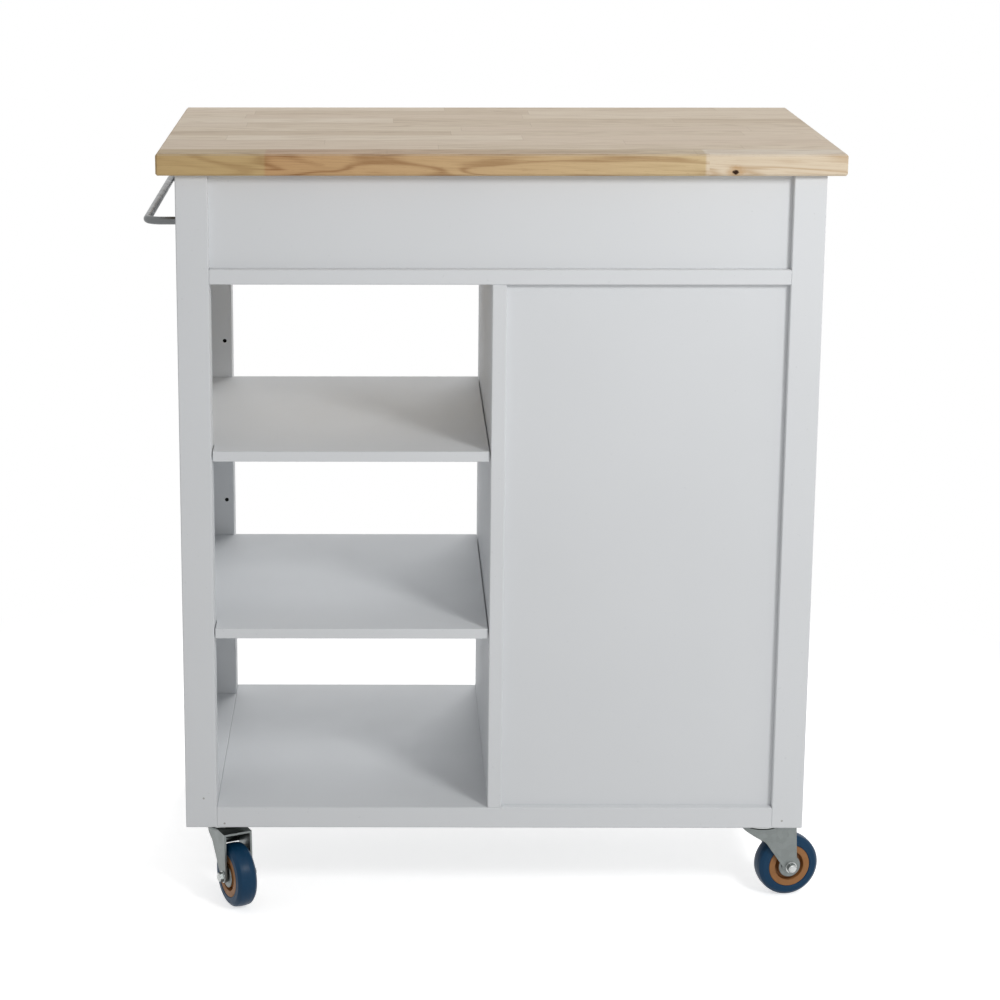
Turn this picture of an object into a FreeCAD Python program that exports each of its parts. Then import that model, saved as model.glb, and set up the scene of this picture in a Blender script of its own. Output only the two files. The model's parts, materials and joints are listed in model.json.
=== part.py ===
# Kitchen island cart: a painted carcass on four swivel casters under a solid wood worktop.
# Millimetres. +Z is up and the floor is z = 0. The origin is on the floor under the middle of
# the carcass. The drawers and the door face +Y, the finished back faces -Y, and the open shelf
# bay, which runs right through, is on the -X side, with the towel bar outside it.
import FreeCAD
import Part
import math
import os
import re
import Sketcher

SIZES = {
    # carcass and worktop
    "caster_height": 100,
    "carcass_width": 720,
    "carcass_depth": 436,
    "carcass_height": 768,
    "worktop_thickness": 24,
    "worktop_ease": 2,
    "side_overhang": 20,
    "rear_overhang": 13,
    "front_overhang": 9,
    "post_size": 36,
    "board_ease": 0.8,
    "side_panel_thickness": 15,
    "lower_rail_height": 50,
    "divider_thickness": 16,
    "floor_thickness": 25,
    "mid_rail_thickness": 17,
    "mid_rail_depth": 60,
    "drawer_opening": 106.5,
    "panel_recess": 27,
    "panel_thickness": 9,
    # shelves and the pins that carry them
    "shelf_thickness": 12,
    "shelf_end_gap": 1.2,
    "shelf_rear_setback": 4.5,
    "shelf_front_setback": 32.5,
    "cabinet_shelf_setback": 38,
    "lower_pin_level": 202.5,
    "spare_pin_level": 297,
    "upper_pin_level": 412.5,
    "top_pin_level": 496,
    "rear_pin_row": 55,
    "front_pin_row": 136,
    "pin_diameter": 5,
    "pin_depth": 7,
    "pin_reach": 9,
    "pin_clearance": 0.05,
    # towel bar
    "bar_diameter": 9,
    "bar_standoff": 36,
    "bar_bend_radius": 16,
    "bar_drop": 58,
    "bar_end_inset": 42,
    # drawers and their runners
    "front_gap": 2,
    "front_thickness": 18,
    "drawer_side_gap": 6,
    "drawer_side_thickness": 12,
    "drawer_side_height": 80,
    "drawer_lift": 8,
    "drawer_rear_gap": 17,
    "drawer_bottom_thickness": 6,
    "drawer_bottom_lift": 6,
    "groove_depth": 6,
    "groove_lift": 34,
    "runner_height": 14,
    "runner_front_gap": 4,
    "runner_seat_gap": 0.3,
    "runner_side_gap": 1,
    # knobs
    "knob_reach": 24,
    "knob_radius": 14,
    "knob_neck_radius": 6,
    "knob_head_thickness": 8,
    "knob_flare": 6,
    "door_knob_inset": 25,
    "door_knob_height": 500,
    # door, hinges and catch
    "door_frame_width": 52,
    "door_panel_thickness": 9,
    "door_panel_recess": 5,
    "hinge_side_gap": 2.4,
    "hinge_height": 60,
    "hinge_end_offset": 70,
    "leaf_thickness": 1,
    "leaf_width": 16,
    "knuckle_radius": 2.8,
    "knuckle_gap": 0.3,
    "knuckle_front_gap": 0.2,
    "hinge_pin_radius": 1.4,
    "hinge_pin_clearance": 0.05,
    "catch_width": 44,
    "catch_height": 14,
    "catch_depth": 20,
    "catch_inset": 12,
    "strike_thickness": 1.5,
    "strike_gap": 0.3,
    # casters
    "caster_inset_side": 43,
    "caster_inset_end": 40,
    "plate_size": 60,
    "plate_thickness": 2.5,
    "plate_corner_radius": 6,
    "raceway_radius": 20.5,
    "raceway_height": 6.2,
    "swivel_gap": 0.3,
    "kingpin_radius": 5,
    "kingpin_head_radius": 7.5,
    "kingpin_head_height": 2.5,
    "running_clearance": 0.05,
    "fork_sheet": 2.5,
    "deck_radius": 23.5,
    "fork_front_reach": 22,
    "fork_front_round": 14,
    "fork_lip": 5,
    "fork_shoulder_along": 1,
    "fork_shoulder_drop": 19,
    "fork_back_reach": 39,
    "fork_boss_radius": 7.5,
    "trail": 34,
    "wheel_radius": 37.5,
    "wheel_width": 25,
    "wheel_side_gap": 2.5,
    "tyre_shoulder": 4,
    "rim_radius": 25.6,
    "rim_inner_radius": 17,
    "hub_radius": 14,
    "rim_edge_inset": 0.5,
    "hub_edge_inset": 0.3,
    "groove_edge_inset": 4,
    "axle_radius": 4,
    "bolt_head_radius": 6,
    "bolt_head_height": 5,
    "yaw_rear_left": 296,
    "yaw_rear_right": 14,
    "yaw_front_left": 150,
    "yaw_front_right": 25,
    # brake pedals on the two front casters
    "pedal_pin_radius": 2,
    "pedal_pin_along": 17,
    "pedal_pin_below": 6.5,
    "pedal_width": 26,
    "pedal_sheet": 3,
    "pedal_tip": 80,
    "pedal_barrel_radius": 4,
    "pedal_rise": 5,
    "pedal_shoe_radius": 3,
    "pedal_shoe_drop": 3,
}

# Places and sizes that follow from the values above.
FORMULAS = {
    "wall": "(carcass_width / 2 - post_size)",
    "half_width": "(carcass_width / 2)",
    "rear": "(-carcass_depth / 2)",
    "front": "(carcass_depth / 2)",
    "underside": "caster_height",
    "carcass_top": "(caster_height + carcass_height)",
    "cabinet_floor": "(caster_height + floor_thickness)",
    "drawer_floor": "(carcass_top - drawer_opening)",
    "rail_underside": "(drawer_floor - mid_rail_thickness)",
    "rear_post_face": "(rear + post_size)",
    "front_post_face": "(front - post_size)",
    "panel_rear": "(rear + panel_recess)",
    "panel_front": "(panel_rear + panel_thickness)",
    "half_divider": "(divider_thickness / 2)",
    "door_back": "(front - front_thickness)",
    "door_top": "(rail_underside - front_gap)",
    "door_bottom": "(cabinet_floor + front_gap)",
    "door_free_edge": "(half_divider + front_gap)",
    "door_hinge_edge": "(wall - hinge_side_gap)",
    "bar_out": "(half_width + bar_standoff)",
    "bar_leg": "(carcass_depth / 2 - bar_end_inset)",
    "bar_height": "(carcass_top - bar_drop)",
    "drawer_bottom": "(drawer_floor + drawer_lift)",
    "drawer_rear": "(panel_front + drawer_rear_gap)",
    "runner_thickness": "(drawer_side_gap + groove_depth - runner_side_gap)",
    "groove_floor": "(drawer_bottom + groove_lift)",
    "groove_height": "(runner_height + 2 * runner_seat_gap)",
    "hinge_x": "(wall - hinge_side_gap / 2)",
    "hinge_y": "(front + knuckle_front_gap + knuckle_radius)",
    "caster_x": "(half_width - caster_inset_side)",
    "caster_y": "(front - caster_inset_end)",
    "plate_underside": "(caster_height - plate_thickness)",
    "deck_top": "(plate_underside - raceway_height - swivel_gap)",
    "deck_underside": "(deck_top - fork_sheet)",
    "fork_half_gap": "(wheel_width / 2 + wheel_side_gap)",
    "fork_half_width": "(fork_half_gap + fork_sheet)",
    "pedal_pin_height": "(deck_underside - pedal_pin_below)",
}
WORD = re.compile(r"[a-z][a-z_]+")
FUNCTIONS = ("sin", "cos")
CLOSE = 1e-3
SIDES = ("left", "right")
PIN_ROWS = ("rear + rear_pin_row", "front - front_pin_row")
OPEN_SIDE = "left"
CARRYING_LEVELS = ("lower_pin_level", "upper_pin_level")
PIN_LEVELS = (*CARRYING_LEVELS, "spare_pin_level", "top_pin_level")
CASTER_AXES = {
    "rear_left": ("-caster_x", "-caster_y"),
    "rear_right": ("caster_x", "-caster_y"),
    "front_left": ("-caster_x", "caster_y"),
    "front_right": ("caster_x", "caster_y"),
}
BRAKED = ("front_left", "front_right")

doc = FreeCAD.newDocument("KitchenIslandCart")
sheet = doc.addObject("Spreadsheet::Sheet", "Sizes")
for row, (alias, value) in enumerate(SIZES.items(), start=1):
    sheet.set(f"A{row}", alias)
    sheet.set(f"B{row}", str(value))
    sheet.setAlias(f"B{row}", alias)
doc.recompute()

subparts = []


def expand(formula):
    """Write a formula of plain words as an expression on the sheet's cells."""
    def swap(found):
        word = found[0]
        if word in FORMULAS:
            return expand(FORMULAS[word])
        return word if word in FUNCTIONS else f"Sizes.{word}"
    return WORD.sub(swap, str(formula))


def bind(item, prop, formula):
    item.setExpression(prop, expand(formula))


def number(formula):
    """The value that a formula has now."""
    return float(sheet.evalExpression(expand(formula)))


def turn(axis, degrees):
    return FreeCAD.Placement(FreeCAD.Vector(), FreeCAD.Rotation(FreeCAD.Vector(*axis), degrees))


UPRIGHT = turn((0, 0, 1), 0)
ALONG_X = turn((0, 1, 0), 90)
ALONG_Y = turn((1, 0, 0), -90)


def place(item, where, attitude=UPRIGHT):
    item.Placement = attitude
    for axis, formula in zip("xyz", where):
        bind(item, f"Placement.Base.{axis}", formula)
    return item


def place_on_caster(item, corner, along=0, height=0):
    """Put a piece in a caster's own frame: +X trails from the swivel axis, turned by its yaw."""
    yaw = f"yaw_{corner}"
    item.Placement = turn((0, 0, 1), 1)
    x, y = CASTER_AXES[corner]
    bind(item, "Placement.Base.x", f"{x} + ({along}) * cos({yaw})")
    bind(item, "Placement.Base.y", f"{y} + ({along}) * sin({yaw})")
    bind(item, "Placement.Base.z", height)
    bind(item, "Placement.Rotation.Angle", yaw)
    return item


def keep(label, item):
    """Name a finished piece and put it on the list of those to write."""
    item.Label = label
    subparts.append(item)
    return item


# ---- PartDesign pieces ----

def new_body(name):
    return doc.addObject("PartDesign::Body", name)


def add_box(body, kind, size, corner=(0, 0, 0), name="Block"):
    box = body.newObject(f"PartDesign::{kind}Box", name)
    for prop, formula in zip(("Length", "Width", "Height"), size):
        bind(box, prop, formula)
    return place(box, corner)


def add_cylinder(body, kind, radius, length, start=(0, 0, 0), attitude=UPRIGHT, name="Round"):
    cylinder = body.newObject(f"PartDesign::{kind}Cylinder", name)
    bind(cylinder, "Radius", radius)
    bind(cylinder, "Height", length)
    return place(cylinder, start, attitude)


def round_edges(body, radius, wanted):
    """Fillet the edges of the body so far for which wanted(edge) is true."""
    doc.recompute()
    last = body.Tip
    names = [f"Edge{i}" for i, edge in enumerate(last.Shape.Edges, start=1) if wanted(edge)]
    fillet = body.newObject("PartDesign::Fillet", "Rounded")
    fillet.Base = (last, names)
    bind(fillet, "Radius", radius)
    return fillet


def sketch_on(body, plane, name="Outline"):
    sketch = body.newObject("Sketcher::SketchObject", name)
    origin_plane = next(f for f in body.Origin.OriginFeatures if f.Role == plane)
    sketch.AttachmentSupport = [(origin_plane, "")]
    sketch.MapMode = "FlatFace"
    return sketch


def pin_vertex(sketch, geometry, end, point):
    """Hold one sketch vertex at the formulas in point."""
    for kind, formula in zip(("DistanceX", "DistanceY"), point):
        value = number(formula)
        index = sketch.addConstraint(Sketcher.Constraint(kind, -1, 1, geometry, end, value))
        bind(sketch, f"Constraints[{index}]", formula)


def polygon(sketch, points):
    corners = [FreeCAD.Vector(number(x), number(y), 0) for x, y in points]
    count = len(points)
    for i in range(count):
        sketch.addGeometry(Part.LineSegment(corners[i], corners[(i + 1) % count]))
    for i in range(count):
        sketch.addConstraint(Sketcher.Constraint("Coincident", i, 2, (i + 1) % count, 1))
        pin_vertex(sketch, i, 1, points[i])


def revolve(body, plane, points):
    """Turn a closed outline about the sketch's vertical axis. Points are (radius, along)."""
    sketch = sketch_on(body, plane, "Profile")
    polygon(sketch, points)
    turned = body.newObject("PartDesign::Revolution", "Turned")
    turned.Profile = sketch
    turned.ReferenceAxis = (sketch, ["V_Axis"])
    turned.Angle = 360
    return turned


def pad(body, sketch, width):
    """Extrude a sketch by width, half to each side of its plane."""
    padded = body.newObject("PartDesign::Pad", "Padded")
    padded.Profile = sketch
    padded.SideType = "Symmetric"
    bind(padded, "Length", width)
    return padded


def eased_board(x, y, z, amount="board_ease"):
    """A board between two formulas on each axis, with its edges broken."""
    body = place(new_body("Board"), (x[0], y[0], z[0]))
    blank = add_box(body, "Additive", [f"({high}) - ({low})" for low, high in (x, y, z)])
    eased = body.newObject("PartDesign::Chamfer", "Eased")
    eased.Base = (blank, [""])
    eased.UseAllEdges = True
    bind(eased, "Size", amount)
    return body


def board(label, x, y, z, amount="board_ease"):
    """An eased board that is a sub-part by itself."""
    return keep(label, eased_board(x, y, z, amount))


# ---- Part primitives ----

def block(x, y, z):
    box = doc.addObject("Part::Box", "Block")
    for prop, (low, high) in zip(("Length", "Width", "Height"), (x, y, z)):
        bind(box, prop, f"({high}) - ({low})")
    return place(box, (x[0], y[0], z[0]))


def rod(radius, length, start, attitude=UPRIGHT):
    cylinder = doc.addObject("Part::Cylinder", "Rod")
    bind(cylinder, "Radius", radius)
    bind(cylinder, "Height", length)
    return place(cylinder, start, attitude)


def fuse(members):
    joined = doc.addObject("Part::MultiFuse", "Joined")
    joined.Shapes = members
    joined.Refine = True
    return joined


def cut(base, tool):
    left = doc.addObject("Part::Cut", "Cut")
    left.Base = base
    left.Tool = tool
    return left


def group(label, members):
    """Separate solids of one kind under one name."""
    together = doc.addObject("Part::Compound", label)
    together.Links = members
    return keep(label, together)


# ---- carcass ----

def across(side, near, far):
    """The x range of a piece that lies between two distances from the middle, on one side."""
    return (near, far) if side == "right" else (f"-({far})", f"-({near})")


def drill_pin_holes(body, corner, start):
    """Two rows of blind holes for shelf pins, along X from x = start, in a board at corner."""
    for level in PIN_LEVELS:
        for row in PIN_ROWS:
            world = (start, row, f"cabinet_floor + {level}")
            local = [f"({place_}) - ({low})" for place_, low in zip(world, corner)]
            add_cylinder(body, "Subtractive", "pin_diameter / 2 + pin_clearance", "pin_depth",
                         local, ALONG_X, name="PinHole")


def make_worktop():
    board("worktop",
          ("-half_width - side_overhang", "half_width + side_overhang"),
          ("rear - rear_overhang", "front + front_overhang"),
          ("carcass_top", "carcass_top + worktop_thickness"), amount="worktop_ease")


def make_side(side):
    """Two square posts, a panel flush with their inner faces, and two rails outside it."""
    upright = ("underside", "carcass_top")
    between = ("rear_post_face", "front_post_face")
    post_x = across(side, "wall", "half_width")
    rail_x = across(side, "wall + side_panel_thickness", "half_width")
    panel_x = across(side, "wall", "wall + side_panel_thickness")
    board(f"post_rear_{side}", post_x, ("rear", "rear_post_face"), upright)
    board(f"post_front_{side}", post_x, ("front_post_face", "front"), upright)
    group(f"side_rails_{side}", [
        eased_board(rail_x, between, ("rail_underside", "carcass_top")),
        eased_board(rail_x, between, ("underside", "underside + lower_rail_height")),
    ])
    panel = board(f"side_panel_{side}", panel_x, between, upright)
    if side == OPEN_SIDE:
        drill_pin_holes(panel, (panel_x[0], between[0], upright[0]), "-wall - pin_depth")


def make_inner_boards():
    inside = ("-wall", "wall")
    middle = ("-half_divider", "half_divider")
    full_depth = ("rear", "front")
    doorway = ("cabinet_floor", "rail_underside")
    drawer_zone = ("drawer_floor", "carcass_top")
    rail_z = ("rail_underside", "drawer_floor")
    recessed = ("panel_rear", "panel_front")
    board("bottom_board", inside, full_depth, ("underside", "cabinet_floor"))
    board("mid_rail_rear", inside, ("rear", "rear + mid_rail_depth"), rail_z)
    board("mid_rail_front", inside, ("front - mid_rail_depth", "front"), rail_z)
    board("drawer_partition", middle, ("panel_front", "front"), drawer_zone)
    board("apron_panel_rear", inside, recessed, drawer_zone)
    board("cabinet_back_panel", ("half_divider", "wall"), recessed, doorway)
    divider = board("divider", middle, full_depth, doorway)
    corner = (middle[0], full_depth[0], doorway[0])
    drill_pin_holes(divider, corner, "-half_divider")


def shelf_z(level):
    seat = f"cabinet_floor + {level} + pin_diameter / 2 + pin_clearance"
    return (seat, f"{seat} + shelf_thickness")


def make_shelves():
    """Two loose shelves in the open bay, and one fixed between the cabinet's two sides."""
    bay_x = ("-wall + shelf_end_gap", "-half_divider - shelf_end_gap")
    bay_y = ("rear + shelf_rear_setback", "front - shelf_front_setback")
    cabinet_y = ("rear + cabinet_shelf_setback", "front - cabinet_shelf_setback")
    board("shelf_lower", bay_x, bay_y, shelf_z("lower_pin_level"))
    board("shelf_upper", bay_x, bay_y, shelf_z("upper_pin_level"))
    board("cabinet_shelf", ("half_divider", "wall"), cabinet_y, shelf_z("spare_pin_level"))


def make_shelf_pins():
    """Plain steel pins, four under each shelf, in the two faces of the open bay."""
    length = "pin_depth + pin_reach"
    pins = []
    for level in CARRYING_LEVELS:
        for row in PIN_ROWS:
            for start in ("-wall - pin_depth", "-half_divider - pin_reach"):
                where = (start, row, f"cabinet_floor + {level}")
                pins.append(rod("pin_diameter / 2", length, where, ALONG_X))
    group("shelf_pins", pins)


def bar_corner(x, y, start_angle):
    corner = doc.addObject("Part::Torus", "Bend")
    bind(corner, "Radius1", "bar_bend_radius")
    bind(corner, "Radius2", "bar_diameter / 2")
    corner.Angle3 = 90
    return place(corner, (x, y, "bar_height"), turn((0, 0, 1), start_angle))


def make_towel_bar():
    """One rod bent into a flat U, its two legs standing on the upper side rail."""
    leg_length = "bar_standoff - bar_bend_radius"
    bend_x = "-half_width - bar_standoff + bar_bend_radius"
    bend_y = "bar_leg - bar_bend_radius"
    legs = [rod("bar_diameter / 2", leg_length, (bend_x, y, "bar_height"), ALONG_X)
            for y in ("-bar_leg", "bar_leg")]
    grip = rod("bar_diameter / 2", f"2 * ({bend_y})", ("-bar_out", f"-({bend_y})", "bar_height"),
               ALONG_Y)
    bends = [bar_corner(bend_x, bend_y, 90), bar_corner(bend_x, f"-({bend_y})", 180)]
    keep("towel_bar", fuse([*legs, grip, *bends]))


# ---- drawers ----

def make_knob(label, x, z):
    """A turned knob that stands on the front face."""
    body = new_body(label)
    revolve(body, "XZ_Plane", [
        ("0", "0"),
        ("knob_neck_radius", "0"),
        ("knob_neck_radius", "knob_reach - knob_head_thickness - knob_flare"),
        ("knob_radius", "knob_reach - knob_head_thickness"),
        ("knob_radius", "knob_reach"),
        ("0", "knob_reach"),
    ])
    place(body, (x, "front", z), ALONG_Y)
    return keep(label, body)


def make_runners():
    """A hardwood strip on each side of each drawer bay; the drawer's grooves hang on them."""
    y = ("rear_post_face", "front_post_face - runner_front_gap")
    z = ("groove_floor + runner_seat_gap", "groove_floor + runner_seat_gap + runner_height")
    strips = []
    for side in SIDES:
        strips.append(block(across(side, "half_divider", "half_divider + runner_thickness"), y, z))
        strips.append(block(across(side, "wall - runner_thickness", "wall"), y, z))
    group("drawer_runners", strips)


def drawer_side(side, near, far, groove_near, groove_far):
    y = ("drawer_rear", "door_back")
    z = ("drawer_bottom", "drawer_bottom + drawer_side_height")
    groove_z = ("groove_floor", "groove_floor + groove_height")
    return cut(block(across(side, near, far), y, z),
               block(across(side, groove_near, groove_far), y, groove_z))


def make_drawer(side):
    near = "half_divider + drawer_side_gap"
    far = "wall - drawer_side_gap"
    inner = across(side, f"{near} + drawer_side_thickness", f"{far} - drawer_side_thickness")
    bottom_z = "drawer_bottom + drawer_bottom_lift"
    board(f"drawer_front_{side}", across(side, "half_divider + front_gap", "wall - front_gap"),
          ("door_back", "front"), ("drawer_floor + front_gap", "carcass_top - front_gap"))
    group(f"drawer_sides_{side}", [
        drawer_side(side, near, f"{near} + drawer_side_thickness", near, f"{near} + groove_depth"),
        drawer_side(side, f"{far} - drawer_side_thickness", far, f"{far} - groove_depth", far),
    ])
    board(f"drawer_bottom_{side}", inner, ("drawer_rear", "door_back"),
          (bottom_z, f"{bottom_z} + drawer_bottom_thickness"))
    board(f"drawer_back_{side}", inner, ("drawer_rear", "drawer_rear + drawer_side_thickness"),
          (f"{bottom_z} + drawer_bottom_thickness", "drawer_bottom + drawer_side_height"))
    middle = across(side, "(half_divider + wall) / 2", "(half_divider + wall) / 2")[0]
    make_knob(f"drawer_knob_{side}", middle, "(drawer_floor + carcass_top) / 2")


# ---- door ----

def make_door():
    x = ("door_free_edge", "door_hinge_edge")
    z = ("door_bottom", "door_top")
    frame = board("door_frame", x, ("door_back", "front"), z)
    opening = (f"{x[1]} - ({x[0]}) - 2 * door_frame_width", "front_thickness",
               f"{z[1]} - ({z[0]}) - 2 * door_frame_width")
    add_box(frame, "Subtractive", opening, ("door_frame_width", "0", "door_frame_width"),
            name="PanelOpening")
    board("door_panel", (f"{x[0]} + door_frame_width", f"{x[1]} - door_frame_width"),
          ("front - door_panel_recess - door_panel_thickness", "front - door_panel_recess"),
          (f"{z[0]} + door_frame_width", f"{z[1]} - door_frame_width"))
    make_knob("door_knob", "door_free_edge + door_knob_inset", "door_bottom + door_knob_height")


def hinge_leaf(low, plate_x, knuckles):
    """A butt hinge leaf whose plate is as tall as the hinge, with knuckles at (from, to)."""
    plate_end = "front + knuckle_front_gap - knuckle_gap"
    solids = [block(plate_x, ("front - leaf_width", plate_end), (low, f"{low} + hinge_height"))]
    for start, end in knuckles:
        z = (f"{low} + {start}", f"{low} + {end}")
        solids.append(block(plate_x, (plate_end, "hinge_y"), z))
        solids.append(rod("knuckle_radius", f"({end}) - ({start})", ("hinge_x", "hinge_y", z[0])))
    hole = rod("hinge_pin_radius + hinge_pin_clearance", "hinge_height",
               ("hinge_x", "hinge_y", low))
    return cut(fuse(solids), hole)


def make_hinges():
    lows = ("door_bottom + hinge_end_offset", "door_top - hinge_end_offset - hinge_height")
    third = "hinge_height / 3"
    post_plate = ("wall - leaf_thickness", "wall")
    door_plate = ("door_hinge_edge", "door_hinge_edge + leaf_thickness")
    outer = (("0", third), (f"2 * {third}", "hinge_height"))
    middle = ((f"{third} + knuckle_gap", f"2 * {third} - knuckle_gap"),)
    group("hinge_leaves_post", [hinge_leaf(low, post_plate, outer) for low in lows])
    group("hinge_leaves_door", [hinge_leaf(low, door_plate, middle) for low in lows])
    group("hinge_pins", [rod("hinge_pin_radius", "hinge_height", ("hinge_x", "hinge_y", low))
                         for low in lows])


def make_catch():
    """A magnetic catch under the front mid rail, and its steel strike on the door."""
    low_x = "door_free_edge + catch_inset"
    x = (low_x, f"{low_x} + catch_width")
    strike_face = "door_back - strike_thickness"
    catch_face = f"{strike_face} - strike_gap"
    board("magnet_catch", x, (f"{catch_face} - catch_depth", catch_face),
          ("rail_underside - catch_height", "rail_underside"))
    keep("catch_strike", block(x, (strike_face, "door_back"),
                               ("rail_underside - catch_height", "door_top - front_gap")))


# ---- casters ----

def make_caster_plates():
    """Square mounting plates, each with its raceway cup and the kingpin riveted through it."""
    plates = []
    for x, y in CASTER_AXES.values():
        body = place(new_body("CasterPlate"), (x, y, "0"))
        add_box(body, "Additive", ("plate_size", "plate_size", "plate_thickness"),
                ("-plate_size / 2", "-plate_size / 2", "plate_underside"))
        height = number("plate_thickness")
        round_edges(body, "plate_corner_radius",
                    lambda edge: abs(edge.BoundBox.ZLength - height) < CLOSE)
        add_cylinder(body, "Additive", "raceway_radius", "raceway_height",
                     ("0", "0", "plate_underside - raceway_height"), name="Raceway")
        head_top = "deck_underside - swivel_gap"
        add_cylinder(body, "Additive", "kingpin_radius", f"plate_underside - ({head_top})",
                     ("0", "0", head_top), name="Kingpin")
        add_cylinder(body, "Additive", "kingpin_head_radius", "kingpin_head_height",
                     ("0", "0", f"{head_top} - kingpin_head_height"), name="KingpinHead")
        plates.append(body)
    group("caster_plates", plates)


def tangent_angle(point, centre, radius, side):
    """The angle at which a tangent from a point touches a circle. side is 1 or -1."""
    away = point - centre
    return math.atan2(away.y, away.x) + side * math.acos(radius / away.Length)


def fork_outline(body):
    """The side view of a fork. From the deck's front a lip and a shoulder lead to a straight
    edge down to the boss at the axle, and one straight edge runs back up."""
    sketch = sketch_on(body, "XZ_Plane")
    corners = [
        ("fork_back_reach", "deck_top"),
        ("-fork_front_reach", "deck_top"),
        ("-fork_front_reach", "deck_top - fork_lip"),
        ("fork_shoulder_along", "deck_top - fork_shoulder_drop"),
    ]
    middle = ("trail", "wheel_radius")
    *points, centre = [FreeCAD.Vector(number(x), number(y), 0) for x, y in (*corners, middle)]
    radius = number("fork_boss_radius")
    start = tangent_angle(points[-1], centre, radius, 1)
    end = tangent_angle(points[0], centre, radius, -1) + 2 * math.pi
    boss = Part.ArcOfCircle(Part.Circle(centre, FreeCAD.Vector(0, 0, 1), radius), start, end)
    edges = [sketch.addGeometry(Part.LineSegment(*pair)) for pair in zip(points, points[1:])]
    edges.append(sketch.addGeometry(Part.LineSegment(points[-1], boss.StartPoint)))
    arc = sketch.addGeometry(boss)
    back_edge = sketch.addGeometry(Part.LineSegment(boss.EndPoint, points[0]))
    for before, after in zip([back_edge, *edges], edges):
        sketch.addConstraint(Sketcher.Constraint("Coincident", before, 2, after, 1))
    sketch.addConstraint(Sketcher.Constraint("Tangent", edges[-1], 2, arc, 1))
    sketch.addConstraint(Sketcher.Constraint("Tangent", arc, 2, back_edge, 1))
    index = sketch.addConstraint(Sketcher.Constraint("Radius", arc, radius))
    bind(sketch, f"Constraints[{index}]", "fork_boss_radius")
    for edge, corner in zip(edges, corners):
        pin_vertex(sketch, edge, 1, corner)
    pin_vertex(sketch, arc, 3, middle)
    return sketch


def across_bore(body, radius, along, height, name):
    """A hole through both legs of a fork."""
    add_cylinder(body, "Subtractive", radius, "2 * fork_half_width",
                 (along, "-fork_half_width", height), ALONG_Y, name=name)


def wheel_space():
    """The room inside a fork, under its deck and its sloping front web, as a solid to cut."""
    body = new_body("WheelSpace")
    sketch = sketch_on(body, "XZ_Plane")
    front = "fork_sheet - fork_front_reach"
    past_boss = "trail + 2 * fork_boss_radius"
    polygon(sketch, [
        (front, "deck_underside"),
        (front, "deck_top - fork_lip + fork_sheet / 2"),
        ("fork_shoulder_along", "deck_top - fork_shoulder_drop + fork_sheet"),
        ("fork_shoulder_along", "0"),
        (past_boss, "0"),
        (past_boss, "deck_underside"),
    ])
    pad(body, sketch, "2 * fork_half_gap")
    round_edges(body, "fork_front_round - fork_sheet", upright_edges_at(front))
    return body


def upright_edges_at(along):
    """A test for the upright edges of a fork that stand at a distance along it."""
    x = number(along)

    def wanted(edge):
        box = edge.BoundBox
        return box.XLength < CLOSE and box.YLength < CLOSE and abs(box.XMin - x) < CLOSE
    return wanted


def make_fork(corner):
    """A pressed fork. A round deck runs under the raceway, a sloping web closes the front
    round a curved nose, and two legs taper down to the axle."""
    body = new_body("ForkBlank")
    pad(body, fork_outline(body), "2 * fork_half_width")
    round_edges(body, "fork_front_round", upright_edges_at("-fork_front_reach"))
    add_cylinder(body, "Additive", "deck_radius", "fork_sheet", ("0", "0", "deck_underside"),
                 name="Deck")
    add_cylinder(body, "Subtractive", "kingpin_radius + running_clearance", "fork_sheet",
                 ("0", "0", "deck_underside"), name="KingpinHole")
    across_bore(body, "axle_radius + running_clearance", "trail", "wheel_radius", "AxleHole")
    if corner in BRAKED:
        across_bore(body, "pedal_pin_radius + running_clearance", "pedal_pin_along",
                    "pedal_pin_height", "PedalPinHole")
    keep(f"fork_{corner}", place_on_caster(cut(body, wheel_space()), corner))


def hexagon(height, start):
    prism = doc.addObject("Part::Prism", "Hexagon")
    prism.Polygon = 6
    bind(prism, "Circumradius", "bolt_head_radius")
    bind(prism, "Height", height)
    return place(prism, start, ALONG_Y)


def make_axle(corner):
    """The axle bolt with its nut and, where there is a brake pedal, the pedal's pin."""
    bolt = fuse([
        rod("axle_radius", "2 * fork_half_width", ("trail", "-fork_half_width", "wheel_radius"),
            ALONG_Y),
        hexagon("bolt_head_height", ("trail", "-fork_half_width - bolt_head_height",
                                     "wheel_radius")),
        hexagon("bolt_head_height", ("trail", "fork_half_width", "wheel_radius")),
    ])
    solids = [bolt]
    if corner in BRAKED:
        solids.append(rod("pedal_pin_radius", "2 * fork_half_width",
                          ("pedal_pin_along", "-fork_half_width", "pedal_pin_height"), ALONG_Y))
    axle = group(f"axle_{corner}", solids)
    place_on_caster(axle, corner)


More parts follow.
